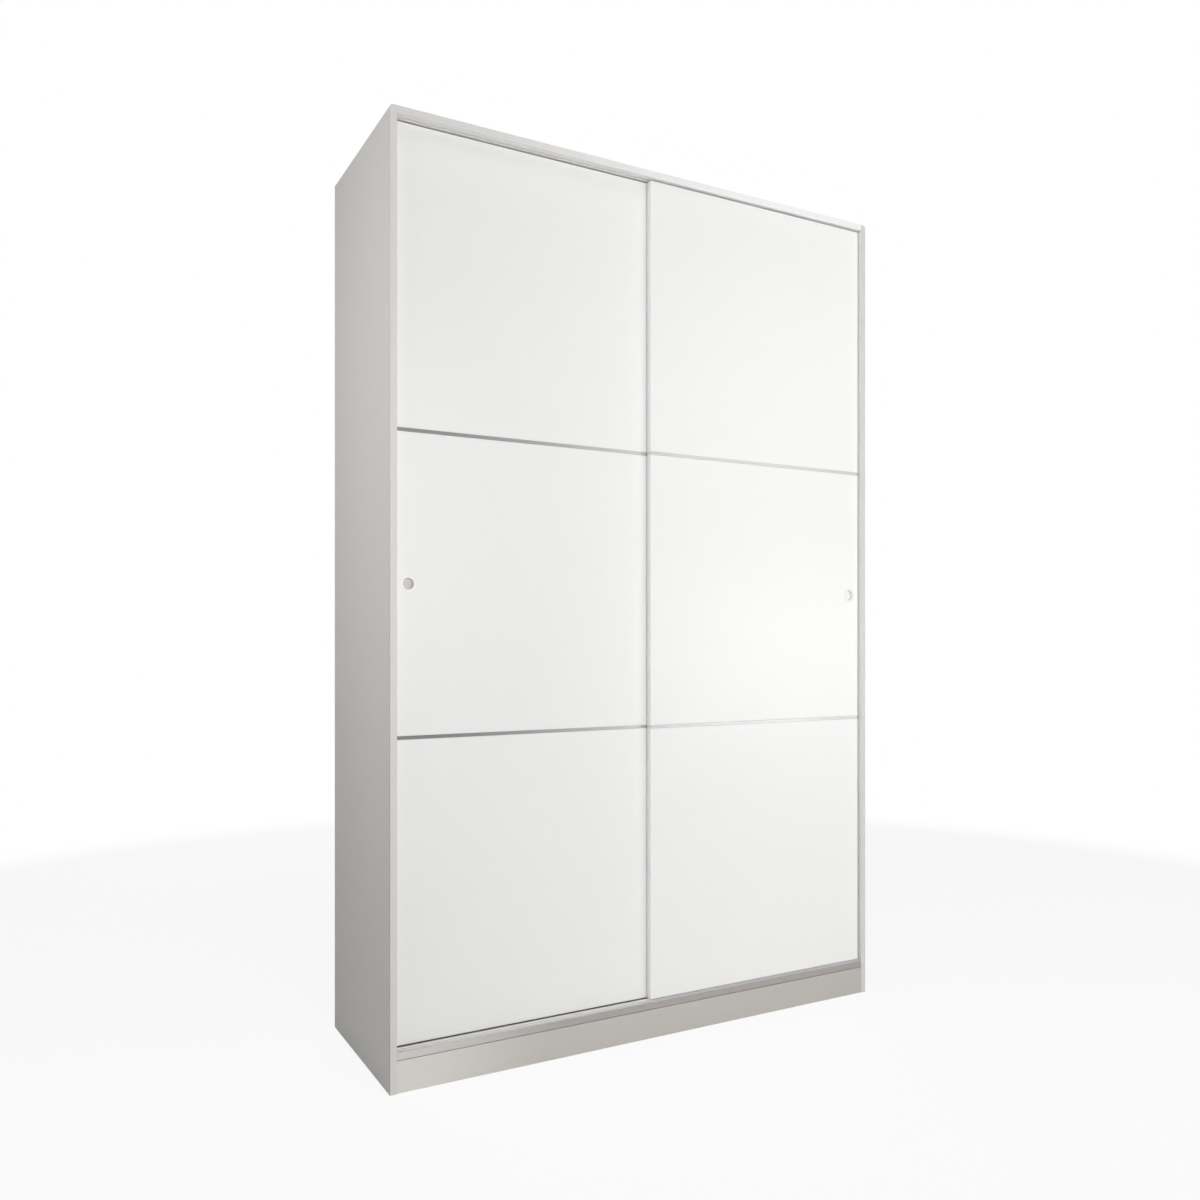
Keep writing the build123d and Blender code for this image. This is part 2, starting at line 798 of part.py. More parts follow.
def door_board(span_name, pull_side):
    """One of a door's three boards, with the pockets for the fittings it carries."""
    half = door_width / 2 - band
    panel = block((-half, half), (0, board), board_spans[span_name])
    if span_name == "middle":
        pocket_length = cut_over + pull_depth + pull_pocket_play
        pocket = rod((0, -cut_over, 0), BACK, pull_barrel_radius + drill_play, pocket_length)
        return panel - pull_place(pull_side) * pocket
    pocket = roller_shape(drill_play) if span_name == "lower" else guide_shape(drill_play)
    screws = roller_screws() if span_name == "lower" else guide_screws()
    for place in fitting_places():
        panel -= place * pocket
        for frame in screws:
            panel -= place * frame * pilot_hole()
    return panel


def joint_strips():
    """The two H-section strips that join the door's boards."""
    strips = []
    half = door_width / 2
    for centre in strip_centres:
        web = block((-half, half), (0, board), (centre - strip_web / 2, centre + strip_web / 2))
        face_span = (centre - strip_face / 2, centre + strip_face / 2)
        front_flange = block((-half, half), (-strip_flange, 0), face_span)
        front_edges = front_flange.edges().filter_by(Axis.X).group_by(Axis.Y)[0]
        front_flange = fillet(front_edges, strip_rounding)
        back_flange = block((-half, half), (board, board + strip_flange), face_span)
        strips.append(web + front_flange + back_flange)
    return strips


def door_edge_bands():
    """The bands on the boards' side edges, rounded front and back."""
    bands = []
    for side in (-1, 1):
        x_span = sorted((side * (door_width / 2 - band), side * door_width / 2))
        for z_span in board_spans.values():
            strip = block(x_span, (0, board), z_span)
            outer_edges = strip.edges().filter_by(Axis.Z).group_by(Axis.X)[0 if side < 0 else -1]
            bands.append(fillet(outer_edges, band_rounding))
    return bands


def pull():
    """A round recessed pull: a crowned flange round a shallow, slightly tapered cup."""
    floor = pull_depth - pull_floor
    cup_wall = Polyline(
        (pull_cup_radius, floor - pull_floor_rounding),
        (pull_lip_radius, -pull_crown_start),
    )
    crown = ThreePointArc(
        (pull_lip_radius, -pull_crown_start),
        ((pull_lip_radius + pull_flange_radius) / 2, -pull_proud),
        (pull_flange_radius, 0),
    )
    barrel = Polyline(
        (pull_flange_radius, 0),
        (pull_barrel_radius, 0),
        (pull_barrel_radius, pull_depth),
        (0, pull_depth),
        (0, floor),
        (pull_cup_radius - pull_floor_rounding, floor),
    )
    floor_corner = RadiusArc(
        (pull_cup_radius - pull_floor_rounding, floor),
        (pull_cup_radius, floor - pull_floor_rounding),
        pull_floor_rounding,
    )
    return revolve(make_face(cup_wall + crown + barrel + floor_corner), Axis.Y)


def roller_housing():
    """A plastic housing with a slot for the wheel, an axle bore and two screw holes."""
    slot_top = wheel_axis_z + wheel_radius + roller_slot_clearance
    slot_y = (fitting_line - roller_slot[1] / 2, fitting_line + roller_slot[1] / 2)
    slot_x = (-roller_slot[0] / 2, roller_slot[0] / 2)
    slot = block(slot_x, slot_y, (door_bottom_z - cut_over, slot_top))
    bore = rod((0, 0, wheel_axis_z), BACK, axle_radius + axle_play, board + cut_over)
    housing = roller_shape(0) - slot - bore
    for frame in roller_screws():
        housing -= frame * countersink()
    return housing


def roller_axle():
    start = (0, fitting_line - axle_length / 2, wheel_axis_z)
    return chamfer(rod(start, BACK, axle_radius, axle_length).edges(), axle_chamfer)


def wheel():
    """A wheel with a groove that runs on the rail's rib."""
    half, mouth, floor = wheel_thickness / 2, groove_mouth / 2, groove_floor / 2
    outline = [
        (axle_radius + axle_play, -half),
        (wheel_radius, -half),
        (wheel_radius, -mouth),
        (wheel_groove_radius, -floor),
        (wheel_groove_radius, floor),
        (wheel_radius, mouth),
        (wheel_radius, half),
        (axle_radius + axle_play, half),
    ]
    return Pos(0, fitting_line, wheel_axis_z) * turned(outline, Plane.XY)


def guide_housing():
    """A plastic housing with the pin's bore, a slot for its thumb tab and two screw holes."""
    floor_z = door_top_z - guide_height + guide_floor
    cap_z = door_top_z - guide_cap
    bore = rod((0, fitting_line, floor_z), UP, guide_bore_radius, cap_z - floor_z)
    stem_hole_length = guide_cap + 2 * cut_over
    stem_hole = rod((0, fitting_line, cap_z - cut_over), UP, guide_stem_hole_radius, stem_hole_length)
    tab_low, tab_high = tab_span()
    tab_slot = block(
        (-tab_width / 2 - tab_play, tab_width / 2 + tab_play),
        (fitting_line, board + cut_over),
        (tab_low - pin_travel - tab_play, tab_high + tab_play),
    )
    housing = guide_shape(0) - bore - stem_hole - tab_slot
    for frame in guide_screws():
        housing -= frame * countersink()
    return housing


def tab_span():
    """Heights of the thumb tab on a guide pin at rest."""
    high, low = [door_top_z - drop for drop in tab_drops]
    return (low, high)


def guide_pin():
    """A pin that runs in the top track: a rounded stem, a piston, a tail for the spring and a tab."""
    piston_top, piston_bottom = [door_top_z - drop for drop in pin_piston_drops]
    foot = (0, fitting_line, piston_bottom)
    stem = rod(foot, UP, pin_radius, door_top_z + pin_proud - piston_bottom)
    stem = fillet(stem.edges().group_by(Axis.Z)[-1], pin_rounding)
    piston = rod(foot, UP, pin_piston_radius, piston_top - piston_bottom)
    tail = rod(foot, DOWN, pin_tail_radius, pin_tail_length)
    tab = block((-tab_width / 2, tab_width / 2), (fitting_line, board), tab_span())
    return stem + piston + tail + tab


def guide_spring():
    """The spring under a guide pin's piston."""
    low = door_top_z - guide_height + guide_floor + spring_wire_radius + spring_lift
    coil = Helix(spring_pitch, spring_pitch * spring_turns, spring_coil_radius)
    section = Plane(origin=coil @ 0, z_dir=coil % 0) * Circle(spring_wire_radius)
    return Pos(0, fitting_line, low) * sweep(section, path=coil, is_frenet=True)


# ---- Writing the pieces ---------------------------------------------------------------------------------


def save(name, pieces):
    """Write one node, which may be a group of separate solids."""
    if isinstance(pieces, list):
        pieces = Compound(children=[Part(piece.wrapped) for piece in pieces])
    export_step(pieces, f"parts/{name}.step")


def save_carcass():
    save("side_panel_left", side_panel("side_panel_left", -1))
    save("side_panel_right", side_panel("side_panel_right", 1))
    save("top_panel", top_panel())
    save("bottom_panel", bottom_panel())
    save("centre_divider", centre_divider())
    save("plinth_front", plinth_board("plinth_front", plinth_front_y))
    save("plinth_rear", plinth_board("plinth_rear", plinth_rear_y))
    save("plinth_brace", plinth_brace())
    save("back_sheet_left", back_sheet(-1))
    save("back_sheet_right", back_sheet(1))
    save("hat_shelf", hat_shelf())
    for index in range(1, shelf_count + 1):
        save(f"shelf_{index}", shelf(index))
    save("hanging_rail", hanging_rail())
    save("rail_sockets", rail_sockets())
    save("top_tracks", top_tracks())
    save("bottom_rail", bottom_rail())
    save("wall_brackets", wall_brackets())
    save("fitting_screws", [frame * screw() for _, frame in CARCASS_SCREWS])
    save("cam_locks", [frame * cam_lock() for _, _, frame in CAM_JOINTS])
    save("cam_bolts", [frame * cam_bolt() for _, _, frame in CAM_JOINTS])
    save("wood_dowels", [frame * dowel() for _, _, frame in DOWEL_JOINTS])
    save("shelf_supports", [frame * shelf_support() for _, frame in SUPPORTS])
    save("back_nails", [Pos(x, depth / 2, z) * back_nail() for x, z in nail_places()])
    save("door_bumpers", door_bumpers())
    save("edge_bands", edge_bands())


def save_door(name, side, front):
    """Write one door's nodes. Its pull is on the given side."""
    place = Pos(side * (inner_x - door_side_gap - door_width / 2), front, 0)
    for span_name in board_spans:
        save(f"{name}_{span_name}_board", place * door_board(span_name, side))
    save(f"{name}_joint_strips", [place * strip for strip in joint_strips()])
    save(f"{name}_edge_bands", [place * strip for strip in door_edge_bands()])
    save(f"{name}_pull", place * pull_place(side) * pull())
    save(f"{name}_screws", [place * frame * screw() for frame in door_screw_frames()])
    fittings = [place * spot for spot in fitting_places()]
    save(f"{name}_roller_housings", [spot * roller_housing() for spot in fittings])
    save(f"{name}_roller_axles", [spot * roller_axle() for spot in fittings])
    save(f"{name}_guide_housings", [spot * guide_housing() for spot in fittings])
    for end, spot in zip(("left", "right"), fittings):
        save(f"{name}_wheel_{end}", spot * wheel())
        save(f"{name}_guide_pin_{end}", spot * guide_pin())
        save(f"{name}_guide_spring_{end}", spot * guide_spring())


os.makedirs("parts", exist_ok=True)
save_carcass()
save_door("left_door", -1, left_door_front)
save_door("right_door", 1, right_door_front)
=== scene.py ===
import json
import math

import bpy
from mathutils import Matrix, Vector

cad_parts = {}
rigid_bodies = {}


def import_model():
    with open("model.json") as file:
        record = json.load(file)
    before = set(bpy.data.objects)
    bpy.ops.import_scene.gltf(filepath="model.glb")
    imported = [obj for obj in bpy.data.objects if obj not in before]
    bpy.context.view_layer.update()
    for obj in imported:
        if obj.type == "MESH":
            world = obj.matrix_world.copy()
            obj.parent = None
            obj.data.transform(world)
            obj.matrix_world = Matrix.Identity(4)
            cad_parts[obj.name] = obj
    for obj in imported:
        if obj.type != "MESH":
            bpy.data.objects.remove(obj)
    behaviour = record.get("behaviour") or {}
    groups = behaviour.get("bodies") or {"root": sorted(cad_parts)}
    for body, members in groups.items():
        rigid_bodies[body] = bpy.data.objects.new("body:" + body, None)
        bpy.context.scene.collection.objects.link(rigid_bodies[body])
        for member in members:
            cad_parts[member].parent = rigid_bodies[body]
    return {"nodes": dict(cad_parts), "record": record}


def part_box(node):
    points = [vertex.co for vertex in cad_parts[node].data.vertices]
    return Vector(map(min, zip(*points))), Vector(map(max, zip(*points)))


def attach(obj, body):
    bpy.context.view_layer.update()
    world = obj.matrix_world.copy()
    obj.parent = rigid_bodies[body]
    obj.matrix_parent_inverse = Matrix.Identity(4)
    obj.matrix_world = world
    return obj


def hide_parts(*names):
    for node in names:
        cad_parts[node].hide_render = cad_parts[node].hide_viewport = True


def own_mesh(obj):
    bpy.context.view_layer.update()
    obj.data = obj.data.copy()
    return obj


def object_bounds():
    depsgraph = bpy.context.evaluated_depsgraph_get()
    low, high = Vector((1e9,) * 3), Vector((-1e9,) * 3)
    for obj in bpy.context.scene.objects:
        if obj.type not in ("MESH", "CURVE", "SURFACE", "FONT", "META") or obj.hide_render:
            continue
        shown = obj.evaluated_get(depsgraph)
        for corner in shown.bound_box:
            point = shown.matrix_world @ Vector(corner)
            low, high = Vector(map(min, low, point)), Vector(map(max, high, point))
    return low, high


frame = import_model()
cad_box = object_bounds()

# A white sliding door wardrobe, in metres: X along the width, Y from the front (-Y) to the back, Z up.
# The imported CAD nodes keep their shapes. This script gives them their materials, and sets the studio.

MM = 0.001
pull_ring_share = 0.14      # the ring takes this much of a pull's depth, and the cup the rest

# ---- Node helpers -----------------------------------------------------------------------------------


class Surface:
    """A material for one slot, with short calls for the nodes that most surfaces need."""

    def __init__(self, name):
        self.material = bpy.data.materials.new(name)
        self.material.use_nodes = True
        self.tree = self.material.node_tree
        self.shader = self.tree.nodes["Principled BSDF"]
        self.coordinates = self.tree.nodes.new("ShaderNodeTexCoord")

    def set(self, **values):
        """Values that are the same all over, on the shader's own sockets."""
        for socket, value in values.items():
            self.shader.inputs[socket.replace("_", " ")].default_value = value

    def node(self, kind, inputs=None, **settings):
        made = self.tree.nodes.new(kind)
        for name, value in settings.items():
            setattr(made, name, value)
        for name, value in (inputs or {}).items():
            self.feed(made.inputs[name], value)
        return made

    def feed(self, socket, value):
        """Link an output to a socket, or set the socket to a plain value."""
        if isinstance(value, bpy.types.NodeSocket):
            self.tree.links.new(value, socket)
        else:
            socket.default_value = value

    def place(self, scale=(1, 1, 1), source="Object"):
        """Coordinates that move with the piece, stretched by a scale on each axis."""
        mapping = self.node("ShaderNodeMapping", {"Vector": self.coordinates.outputs[source], "Scale": scale})
        return mapping.outputs["Vector"]

    def noise(self, size, detail=2.0, stretch=(1, 1, 1)):
        """Noise between 0 and 1, with features about as large as the size in metres."""
        inputs = {"Vector": self.place(stretch), "Scale": 1 / size, "Detail": detail}
        return self.node("ShaderNodeTexNoise", inputs).outputs["Fac"]

    def cells(self, size, feature="F1", stretch=(1, 1, 1)):
        inputs = {"Vector": self.place(stretch), "Scale": 1 / size}
        return self.node("ShaderNodeTexVoronoi", inputs, feature=feature)

    def between(self, value, low, high, start=0.3, end=0.7):
        """A value from one range spread over another."""
        inputs = {"Value": value, "From Min": start, "From Max": end, "To Min": low, "To Max": high}
        return self.node("ShaderNodeMapRange", inputs, interpolation_type="SMOOTHSTEP").outputs["Result"]

    def painted_light_across_width(self, left_tone, right_tone, share=1.0):
        """Painted light: a colour that drifts to the right, over a share of the wardrobe's width, lighter or darker as
        the studio light falls across it.
        """
        low, high = cad_box
        reach = low[0] + share * (high[0] - low[0])
        across = self.between(self.axis("X"), 0, 1, start=low[0], end=reach)
        return self.blend(across, left_tone + (1.0,), right_tone + (1.0,))

    def axis(self, letter):
        """One of the piece's own coordinates, in metres."""
        parts = self.node("ShaderNodeSeparateXYZ", {"Vector": self.coordinates.outputs["Object"]})
        return parts.outputs[letter]

    def math(self, operation, first, second=0.0):
        made = self.node("ShaderNodeMath", operation=operation)
        self.feed(made.inputs[0], first)
        self.feed(made.inputs[1], second)
        return made.outputs["Value"]

    def blend(self, factor, first, second):
        """A colour between two others."""
        made = self.node("ShaderNodeMix", data_type="RGBA")
        self.feed(made.inputs["Factor"], factor)
        colour_inputs = [socket for socket in made.inputs if socket.type == "RGBA"]
        self.feed(colour_inputs[0], first)
        self.feed(colour_inputs[1], second)
        return [socket for socket in made.outputs if socket.type == "RGBA"][0]

    def colour(self, value):
        self.feed(self.shader.inputs["Base Color"], value)

    def roughness(self, value):
        self.feed(self.shader.inputs["Roughness"], value)

    def bumps(self, *layers):
        """Relief from several heights, each a value with its depth in metres."""
        normal = None
        for height, depth in layers:
            inputs = {"Height": height, "Strength": 1.0, "Distance": depth}
            if normal is not None:
                inputs["Normal"] = normal
            normal = self.node("ShaderNodeBump", inputs).outputs["Normal"]
        self.feed(self.shader.inputs["Normal"], normal)


def shade(colour, factor):
    """A colour made lighter or darker, as RGBA."""
    return tuple(min(1.0, part * factor) for part in colour) + (1.0,)


# ---- Materials, one for each of the record's slots ----------------------------------------------------


def melamine(name, tones, sheens, grain_depth, share=1.0, floor_shade_tone=1.0):
    """Melamine-faced board: a fine pressed grain, a tone that may drift a little to the right as painted light, and
    painted shade that darkens it towards the floor.
    """
    surface = Surface(name)
    # Painted light: the tone drifts across the width.
    painted_light_drift = surface.painted_light_across_width(*tones, share=share)
    # Painted shade: darker towards the floor, from the floor shade tone at the ground to the full tone at one metre.
    painted_floor_shade = surface.between(surface.axis("Z"), floor_shade_tone, 1.0, start=0, end=1.0)
    tone = surface.blend(painted_floor_shade, (0, 0, 0, 1.0), painted_light_drift)
    speck = surface.noise(2.5 * MM, detail=2)
    dusty = surface.blend(0.02, tone, (0.2, 0.2, 0.2, 1.0))
    surface.colour(surface.blend(surface.between(speck, 0, 1), dusty, tone))
    pressed = surface.noise(0.7 * MM, detail=3)
    surface.roughness(surface.between(pressed, *sheens))
    surface.bumps((pressed, grain_depth))
    surface.set(IOR=1.5)
    return surface.material


def carcass_board():
    # Painted light drifts the tone a little to the right, and painted shade darkens it towards the floor.
    tones = (0.86, 0.848, 0.818), (0.86, 0.85, 0.83)
    return melamine("carcass_board", tones, (0.42, 0.54), 0.03 * MM, floor_shade_tone=0.82)


def plinth_board():
    """The boards near the floor: greyer, with painted light that makes them lighter at the left end."""
    # Painted light: lighter at the left end, darker to the right.
    tones = (0.67, 0.65, 0.62), (0.51, 0.49, 0.457)
    return melamine("plinth_board", tones, (0.42, 0.54), 0.03 * MM, share=0.3)


def door_board():
    # Painted light: the boards are darker at the left and lighter to the right.
    tones = (0.81, 0.808, 0.80), (0.918, 0.916, 0.908)
    return melamine("door_board", tones, (0.28, 0.36), 0.012 * MM)


def edging(name):
    """Plastic edging with faint marks along its length. The caller gives it its colour."""
    surface = Surface(name)
    marks = surface.noise(1.2 * MM, detail=3, stretch=(1, 1, 0.04))
    surface.roughness(surface.between(marks, 0.34, 0.46))
    surface.bumps((marks, 0.015 * MM))
    surface.set(IOR=1.5)
    return surface, marks


def edge_band():
    """The carcass's edging, with painted light: whitest on the top board, greyest on the bottom one, and painted shade
    along the sides, darker towards the bottom.
    """
    surface, marks = edging("edge_band")
    # Painted light: each tone drifts across the width, lighter to the right on the top board and darker to the right on
    # the bottom one.
    side_tone = surface.painted_light_across_width((0.65, 0.62, 0.60), (0.68, 0.665, 0.65))
    top_tone = surface.painted_light_across_width((0.645, 0.63, 0.615), (0.91, 0.905, 0.90), share=0.8)
    bottom_tone = surface.painted_light_across_width((0.62, 0.59, 0.57), (0.385, 0.36, 0.345), share=0.36)
    top_low, top_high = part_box("top_panel")
    bottom_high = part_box("bottom_panel")[1]
    between_sides = surface.math("LESS_THAN", surface.math("ABSOLUTE", surface.axis("X")), top_high[0])
    above = surface.math("GREATER_THAN", surface.axis("Z"), top_low[2])
    below = surface.math("LESS_THAN", surface.axis("Z"), bottom_high[2])
    on_top = surface.math("MULTIPLY", between_sides, above)
    on_bottom = surface.math("MULTIPLY", between_sides, below)
    # Painted shade on the faces turned out to the sides, darker towards the bottom.
    normal = surface.node("ShaderNodeSeparateXYZ", {"Vector": surface.coordinates.outputs["Normal"]})
    outward = surface.math("MULTIPLY", normal.outputs["X"], surface.axis("X"))
    turned = surface.between(outward, 0, 1, start=0.2, end=0.5)
    painted_side_shade = surface.math("MULTIPLY", turned, surface.between(surface.axis("Z"), 1.0, 0.3, start=0.2, end=2.1))
    side_tone = surface.blend(painted_side_shade, side_tone, (0.12, 0.115, 0.11, 1.0))
    base = surface.blend(on_bottom, surface.blend(on_top, side_tone, top_tone), bottom_tone)
    worn = surface.blend(0.03, base, (0.3, 0.3, 0.3, 1.0))
    surface.colour(surface.blend(surface.between(marks, 0, 1), worn, base))
    return surface.material


def door_edge_band():
    """The doors' edging, as white as their boards."""
    surface, marks = edging("door_edge_band")
    base = (0.90, 0.893, 0.886)
    surface.colour(surface.blend(surface.between(marks, 0, 1), shade(base, 0.97), shade(base, 1.01)))
    return surface.material


def back_sheet():
    """Hardboard: painted white on the side that faces the clothes, and raw brown fibre at the back."""
    surface = Surface("back_sheet")
    normal = surface.node("ShaderNodeSeparateXYZ", {"Vector": surface.coordinates.outputs["Normal"]})
    raw_side = surface.math("GREATER_THAN", normal.outputs["Y"], 0.5)
    paint = (0.84, 0.83, 0.80)
    fibre_dark = (0.24, 0.15, 0.085, 1.0)
    fibre_light = (0.42, 0.29, 0.18, 1.0)
    fibres = surface.noise(1.6 * MM, detail=6, stretch=(1, 1, 0.35))
    patches = surface.noise(0.09, detail=4)
    fibre_mix = surface.math("ADD", surface.between(fibres, 0, 0.75), surface.between(patches, 0, 0.25))
    raw = surface.blend(fibre_mix, fibre_dark, fibre_light)
    painted = surface.blend(surface.between(patches, 0, 1), shade(paint, 0.98), shade(paint, 1.01))
    surface.colour(surface.blend(raw_side, painted, raw))
    surface.roughness(surface.math("ADD", surface.between(fibres, 0.42, 0.52), surface.math("MULTIPLY", raw_side, 0.3)))
    surface.bumps((fibres, 0.06 * MM))
    return surface.material


def aluminium_strip():
    """Anodised aluminium: fine drawing lines along the strip, and a painted reflection, dark at the left and lighter to
    the right.
    """
    surface = Surface("aluminium_strip")
    # Painted reflection: dark at the left end, lighter to the right.
    base = surface.painted_light_across_width((0.16, 0.157, 0.155), (0.60, 0.59, 0.585), share=0.65)
    lines = surface.noise(0.35 * MM, detail=4, stretch=(0.01, 1, 1))
    cloud = surface.noise(60 * MM, detail=3, stretch=(0.3, 1, 1))
    dull = surface.blend(0.12, base, (0.1, 0.1, 0.1, 1.0))
    surface.colour(surface.blend(surface.between(lines, 0, 1), dull, base))
    surface.roughness(surface.math("ADD", surface.between(lines, 0.34, 0.42), surface.between(cloud, 0, 0.04)))
    surface.bumps((lines, 0.006 * MM))
    surface.set(Metallic=1.0)
    return surface.material


def moulded_plastic(name, colour, rough_low, rough_high, grain_size, grain_depth):
    """Moulded plastic: a fine eroded grain and faint flow clouds."""
    surface = Surface(name)
    flow = surface.noise(14 * MM, detail=4, stretch=(0.5, 1, 1))
    grain = surface.noise(grain_size, detail=3)
    surface.colour(surface.blend(surface.between(flow, 0, 1), shade(colour, 0.97), shade(colour, 1.02)))
    surface.roughness(surface.between(grain, rough_low, rough_high))
    surface.bumps((grain, grain_depth))
    surface.set(IOR=1.49)
    return surface.material


def track_plastic():
    """The tracks: white above and greyer below, with painted shade where the inner door covers them."""
    surface = Surface("track_plastic")
    height = surface.between(surface.axis("Z"), 0, 1, start=0.5, end=1.5)
    open_tone = surface.blend(height, (0.78, 0.77, 0.76, 1.0), (0.92, 0.91, 0.90, 1.0))
    # Painted shade: dark behind the inner door's front, in its shadow.
    inner_door_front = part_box("left_door_pull")[0][1]
    painted_shade_behind_door = surface.math("GREATER_THAN", surface.axis("Y"), inner_door_front)
    tone = surface.blend(painted_shade_behind_door, open_tone, (0.25, 0.245, 0.24, 1.0))
    grain = surface.noise(0.5 * MM, detail=3)
    dusty = surface.blend(0.05, tone, (0.2, 0.2, 0.2, 1.0))
    surface.colour(surface.blend(surface.between(grain, 0, 1), dusty, tone))
    surface.roughness(surface.between(grain, 0.4, 0.55))
    surface.bumps((grain, 0.02 * MM))
    surface.set(IOR=1.49)
    return surface.material


def pull_plastic():
    """A white moulded pull. Its cup is duller than the ring, with painted shade that makes it greyer, and more so on
    the left door.
    """
    surface = Surface("pull_plastic")
    depth = surface.node("ShaderNodeSeparateXYZ", {"Vector": surface.coordinates.outputs["Generated"]})
    inside = surface.math("GREATER_THAN", depth.outputs["Y"], pull_ring_share)
    ring = (0.88, 0.88, 0.87, 1.0)
    # Painted shade in the cup, darkest on the left door.
    cup = surface.painted_light_across_width((0.66, 0.635, 0.62), (0.92, 0.915, 0.91))
    grain = surface.noise(1.2 * MM, detail=3)
    dusty = surface.blend(0.12, cup, (0.2, 0.2, 0.2, 1.0))
    cup = surface.blend(surface.between(grain, 0, 1), dusty, cup)
    surface.colour(surface.blend(inside, ring, cup))
    surface.roughness(surface.math("ADD", surface.between(grain, 0.24, 0.34), surface.math("MULTIPLY", inside, 0.3)))
    surface.bumps((grain, 0.01 * MM))
    surface.set(IOR=1.49)
    return surface.material


def housing_plastic():
    return moulded_plastic("housing_plastic", (0.80, 0.80, 0.78), 0.45, 0.6, 0.4 * MM, 0.03 * MM)


def wheel_nylon():
    return moulded_plastic("wheel_nylon", (0.85, 0.84, 0.80), 0.32, 0.42, 0.6 * MM, 0.015 * MM)


def pin_nylon():
    return moulded_plastic("pin_nylon", (0.85, 0.84, 0.80), 0.3, 0.42, 0.6 * MM, 0.015 * MM)


def polished_steel():
    """Drawn steel wire and pins: fine lines and a few darker oil marks."""
    surface = Surface("polished_steel")
    base = (0.62, 0.62, 0.62)
    drawn = surface.noise(0.2 * MM, detail=3, stretch=(1, 1, 0.2))
    marks = surface.noise(2 * MM, detail=4)
    surface.colour(surface.blend(surface.between(marks, 0, 1), shade(base, 0.85), shade(base, 1.05)))
    surface.roughness(surface.between(drawn, 0.16, 0.3))
    surface.bumps((drawn, 0.004 * MM))
    surface.set(Metallic=1.0)
    return surface.material


def zinc_steel():
    """Zinc plating: small bright flakes of slightly different tone."""
    surface = Surface("zinc_steel")
    base = (0.66, 0.66, 0.64)
    flakes = surface.cells(1.2 * MM)
    tone = surface.between(flakes.outputs["Color"], 0, 1, start=0, end=1)
    surface.colour(surface.blend(tone, shade(base, 0.88), shade(base, 1.06)))
    surface.roughness(surface.between(tone, 0.26, 0.42, start=0, end=1))
    surface.bumps((surface.noise(0.3 * MM, detail=3), 0.01 * MM))
    surface.set(Metallic=1.0)
    return surface.material


def zinc_cast():
    """Die-cast zinc: a dull skin with a faint sandy grain."""
    surface = Surface("zinc_cast")
    base = (0.58, 0.58, 0.58)
    skin = surface.noise(1.5 * MM, detail=5)
    surface.colour(surface.blend(surface.between(skin, 0, 1), shade(base, 0.82), shade(base, 1.08)))
    surface.roughness(surface.between(skin, 0.38, 0.52))
    surface.bumps((surface.noise(0.25 * MM, detail=3), 0.02 * MM))
    surface.set(Metallic=1.0)
    return surface.material


def chrome(name, colour, stretch):
    """Chrome plating: nearly a mirror, with faint polishing marks and a trace of haze."""
    surface = Surface(name)
    haze = surface.noise(30 * MM, detail=4)
    polish = surface.noise(0.25 * MM, detail=2, stretch=stretch)
    surface.colour(surface.blend(surface.between(haze, 0, 1), shade(colour, 0.96), shade(colour, 1.03)))
    surface.roughness(surface.between(haze, 0.07, 0.14))
    surface.bumps((polish, 0.0015 * MM))
    surface.set(Metallic=1.0)
    return surface.material


def chromed_tube():
    return chrome("chromed_tube", (0.75, 0.75, 0.75), (0.02, 1, 1))


def chromed_zinc():
    return chrome("chromed_zinc", (0.72, 0.72, 0.72), (1, 1, 1))


def beech():
    """Raw beech: pale with short darker flecks along the grain."""
    surface = Surface("beech")
    grain = surface.noise(1.0 * MM, detail=4, stretch=(0.12, 1, 1))
    flecks = surface.noise(0.5 * MM, detail=2, stretch=(0.2, 1, 1))
    body = surface.blend(surface.between(grain, 0, 1), (0.66, 0.47, 0.29, 1.0), (0.78, 0.61, 0.42, 1.0))
    flecked = surface.between(flecks, 0, 0.4, start=0.6, end=0.75)
    surface.colour(surface.blend(flecked, body, (0.45, 0.29, 0.16, 1.0)))
    surface.roughness(surface.between(grain, 0.6, 0.75))
    surface.bumps((grain, 0.05 * MM))
    return surface.material


def clear_rubber():
    """Soft translucent bumper dots with a slightly dusty skin."""
    surface = Surface("clear_rubber")
    base = (0.80, 0.80, 0.80)
    dust = surface.noise(1.0 * MM, detail=4)
    surface.colour(surface.blend(surface.between(dust, 0, 1), shade(base, 0.95), shade(base, 1.05)))
    surface.roughness(surface.between(dust, 0.28, 0.42))
    surface.bumps((dust, 0.01 * MM))
    surface.set(Subsurface_Weight=0.3, IOR=1.45)
    return surface.material


FINISHES = [
    carcass_board,
    plinth_board,
    door_board,
    edge_band,
    door_edge_band,
    back_sheet,
    aluminium_strip,
    track_plastic,
    pull_plastic,
    housing_plastic,
    wheel_nylon,
    pin_nylon,
    polished_steel,
    zinc_steel,
    zinc_cast,
    chromed_tube,
    chromed_zinc,
    beech,
    clear_rubber,
]

materials = {finish.__name__: finish() for finish in FINISHES}

for subpart in frame["record"]["subparts"]:
    piece = frame["nodes"][subpart["node"]]
    for material_slot in piece.material_slots:
        material_slot.material = materials[subpart["material_slot"]]


# ---- Springs ------------------------------------------------------------------------------------------


def living_spring(node, joint):
    """A copy of a CAD spring, with a mesh of its own, on the joint's parent body in place of the CAD spring."""
    rigid = frame["nodes"][node]
    spring = rigid.copy()
    spring.data = rigid.data.copy()
    spring.name = node + "_coil"
    bpy.context.scene.collection.objects.link(spring)
    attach(spring, joint["parent"])
    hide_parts(node)
    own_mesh(spring)


for joint in frame["record"]["behaviour"]["joints"]:
    for deforming in joint.get("deforming_nodes", []):
        living_spring(deforming["node"], joint)


# ---- Softened edges -----------------------------------------------------------------------------------

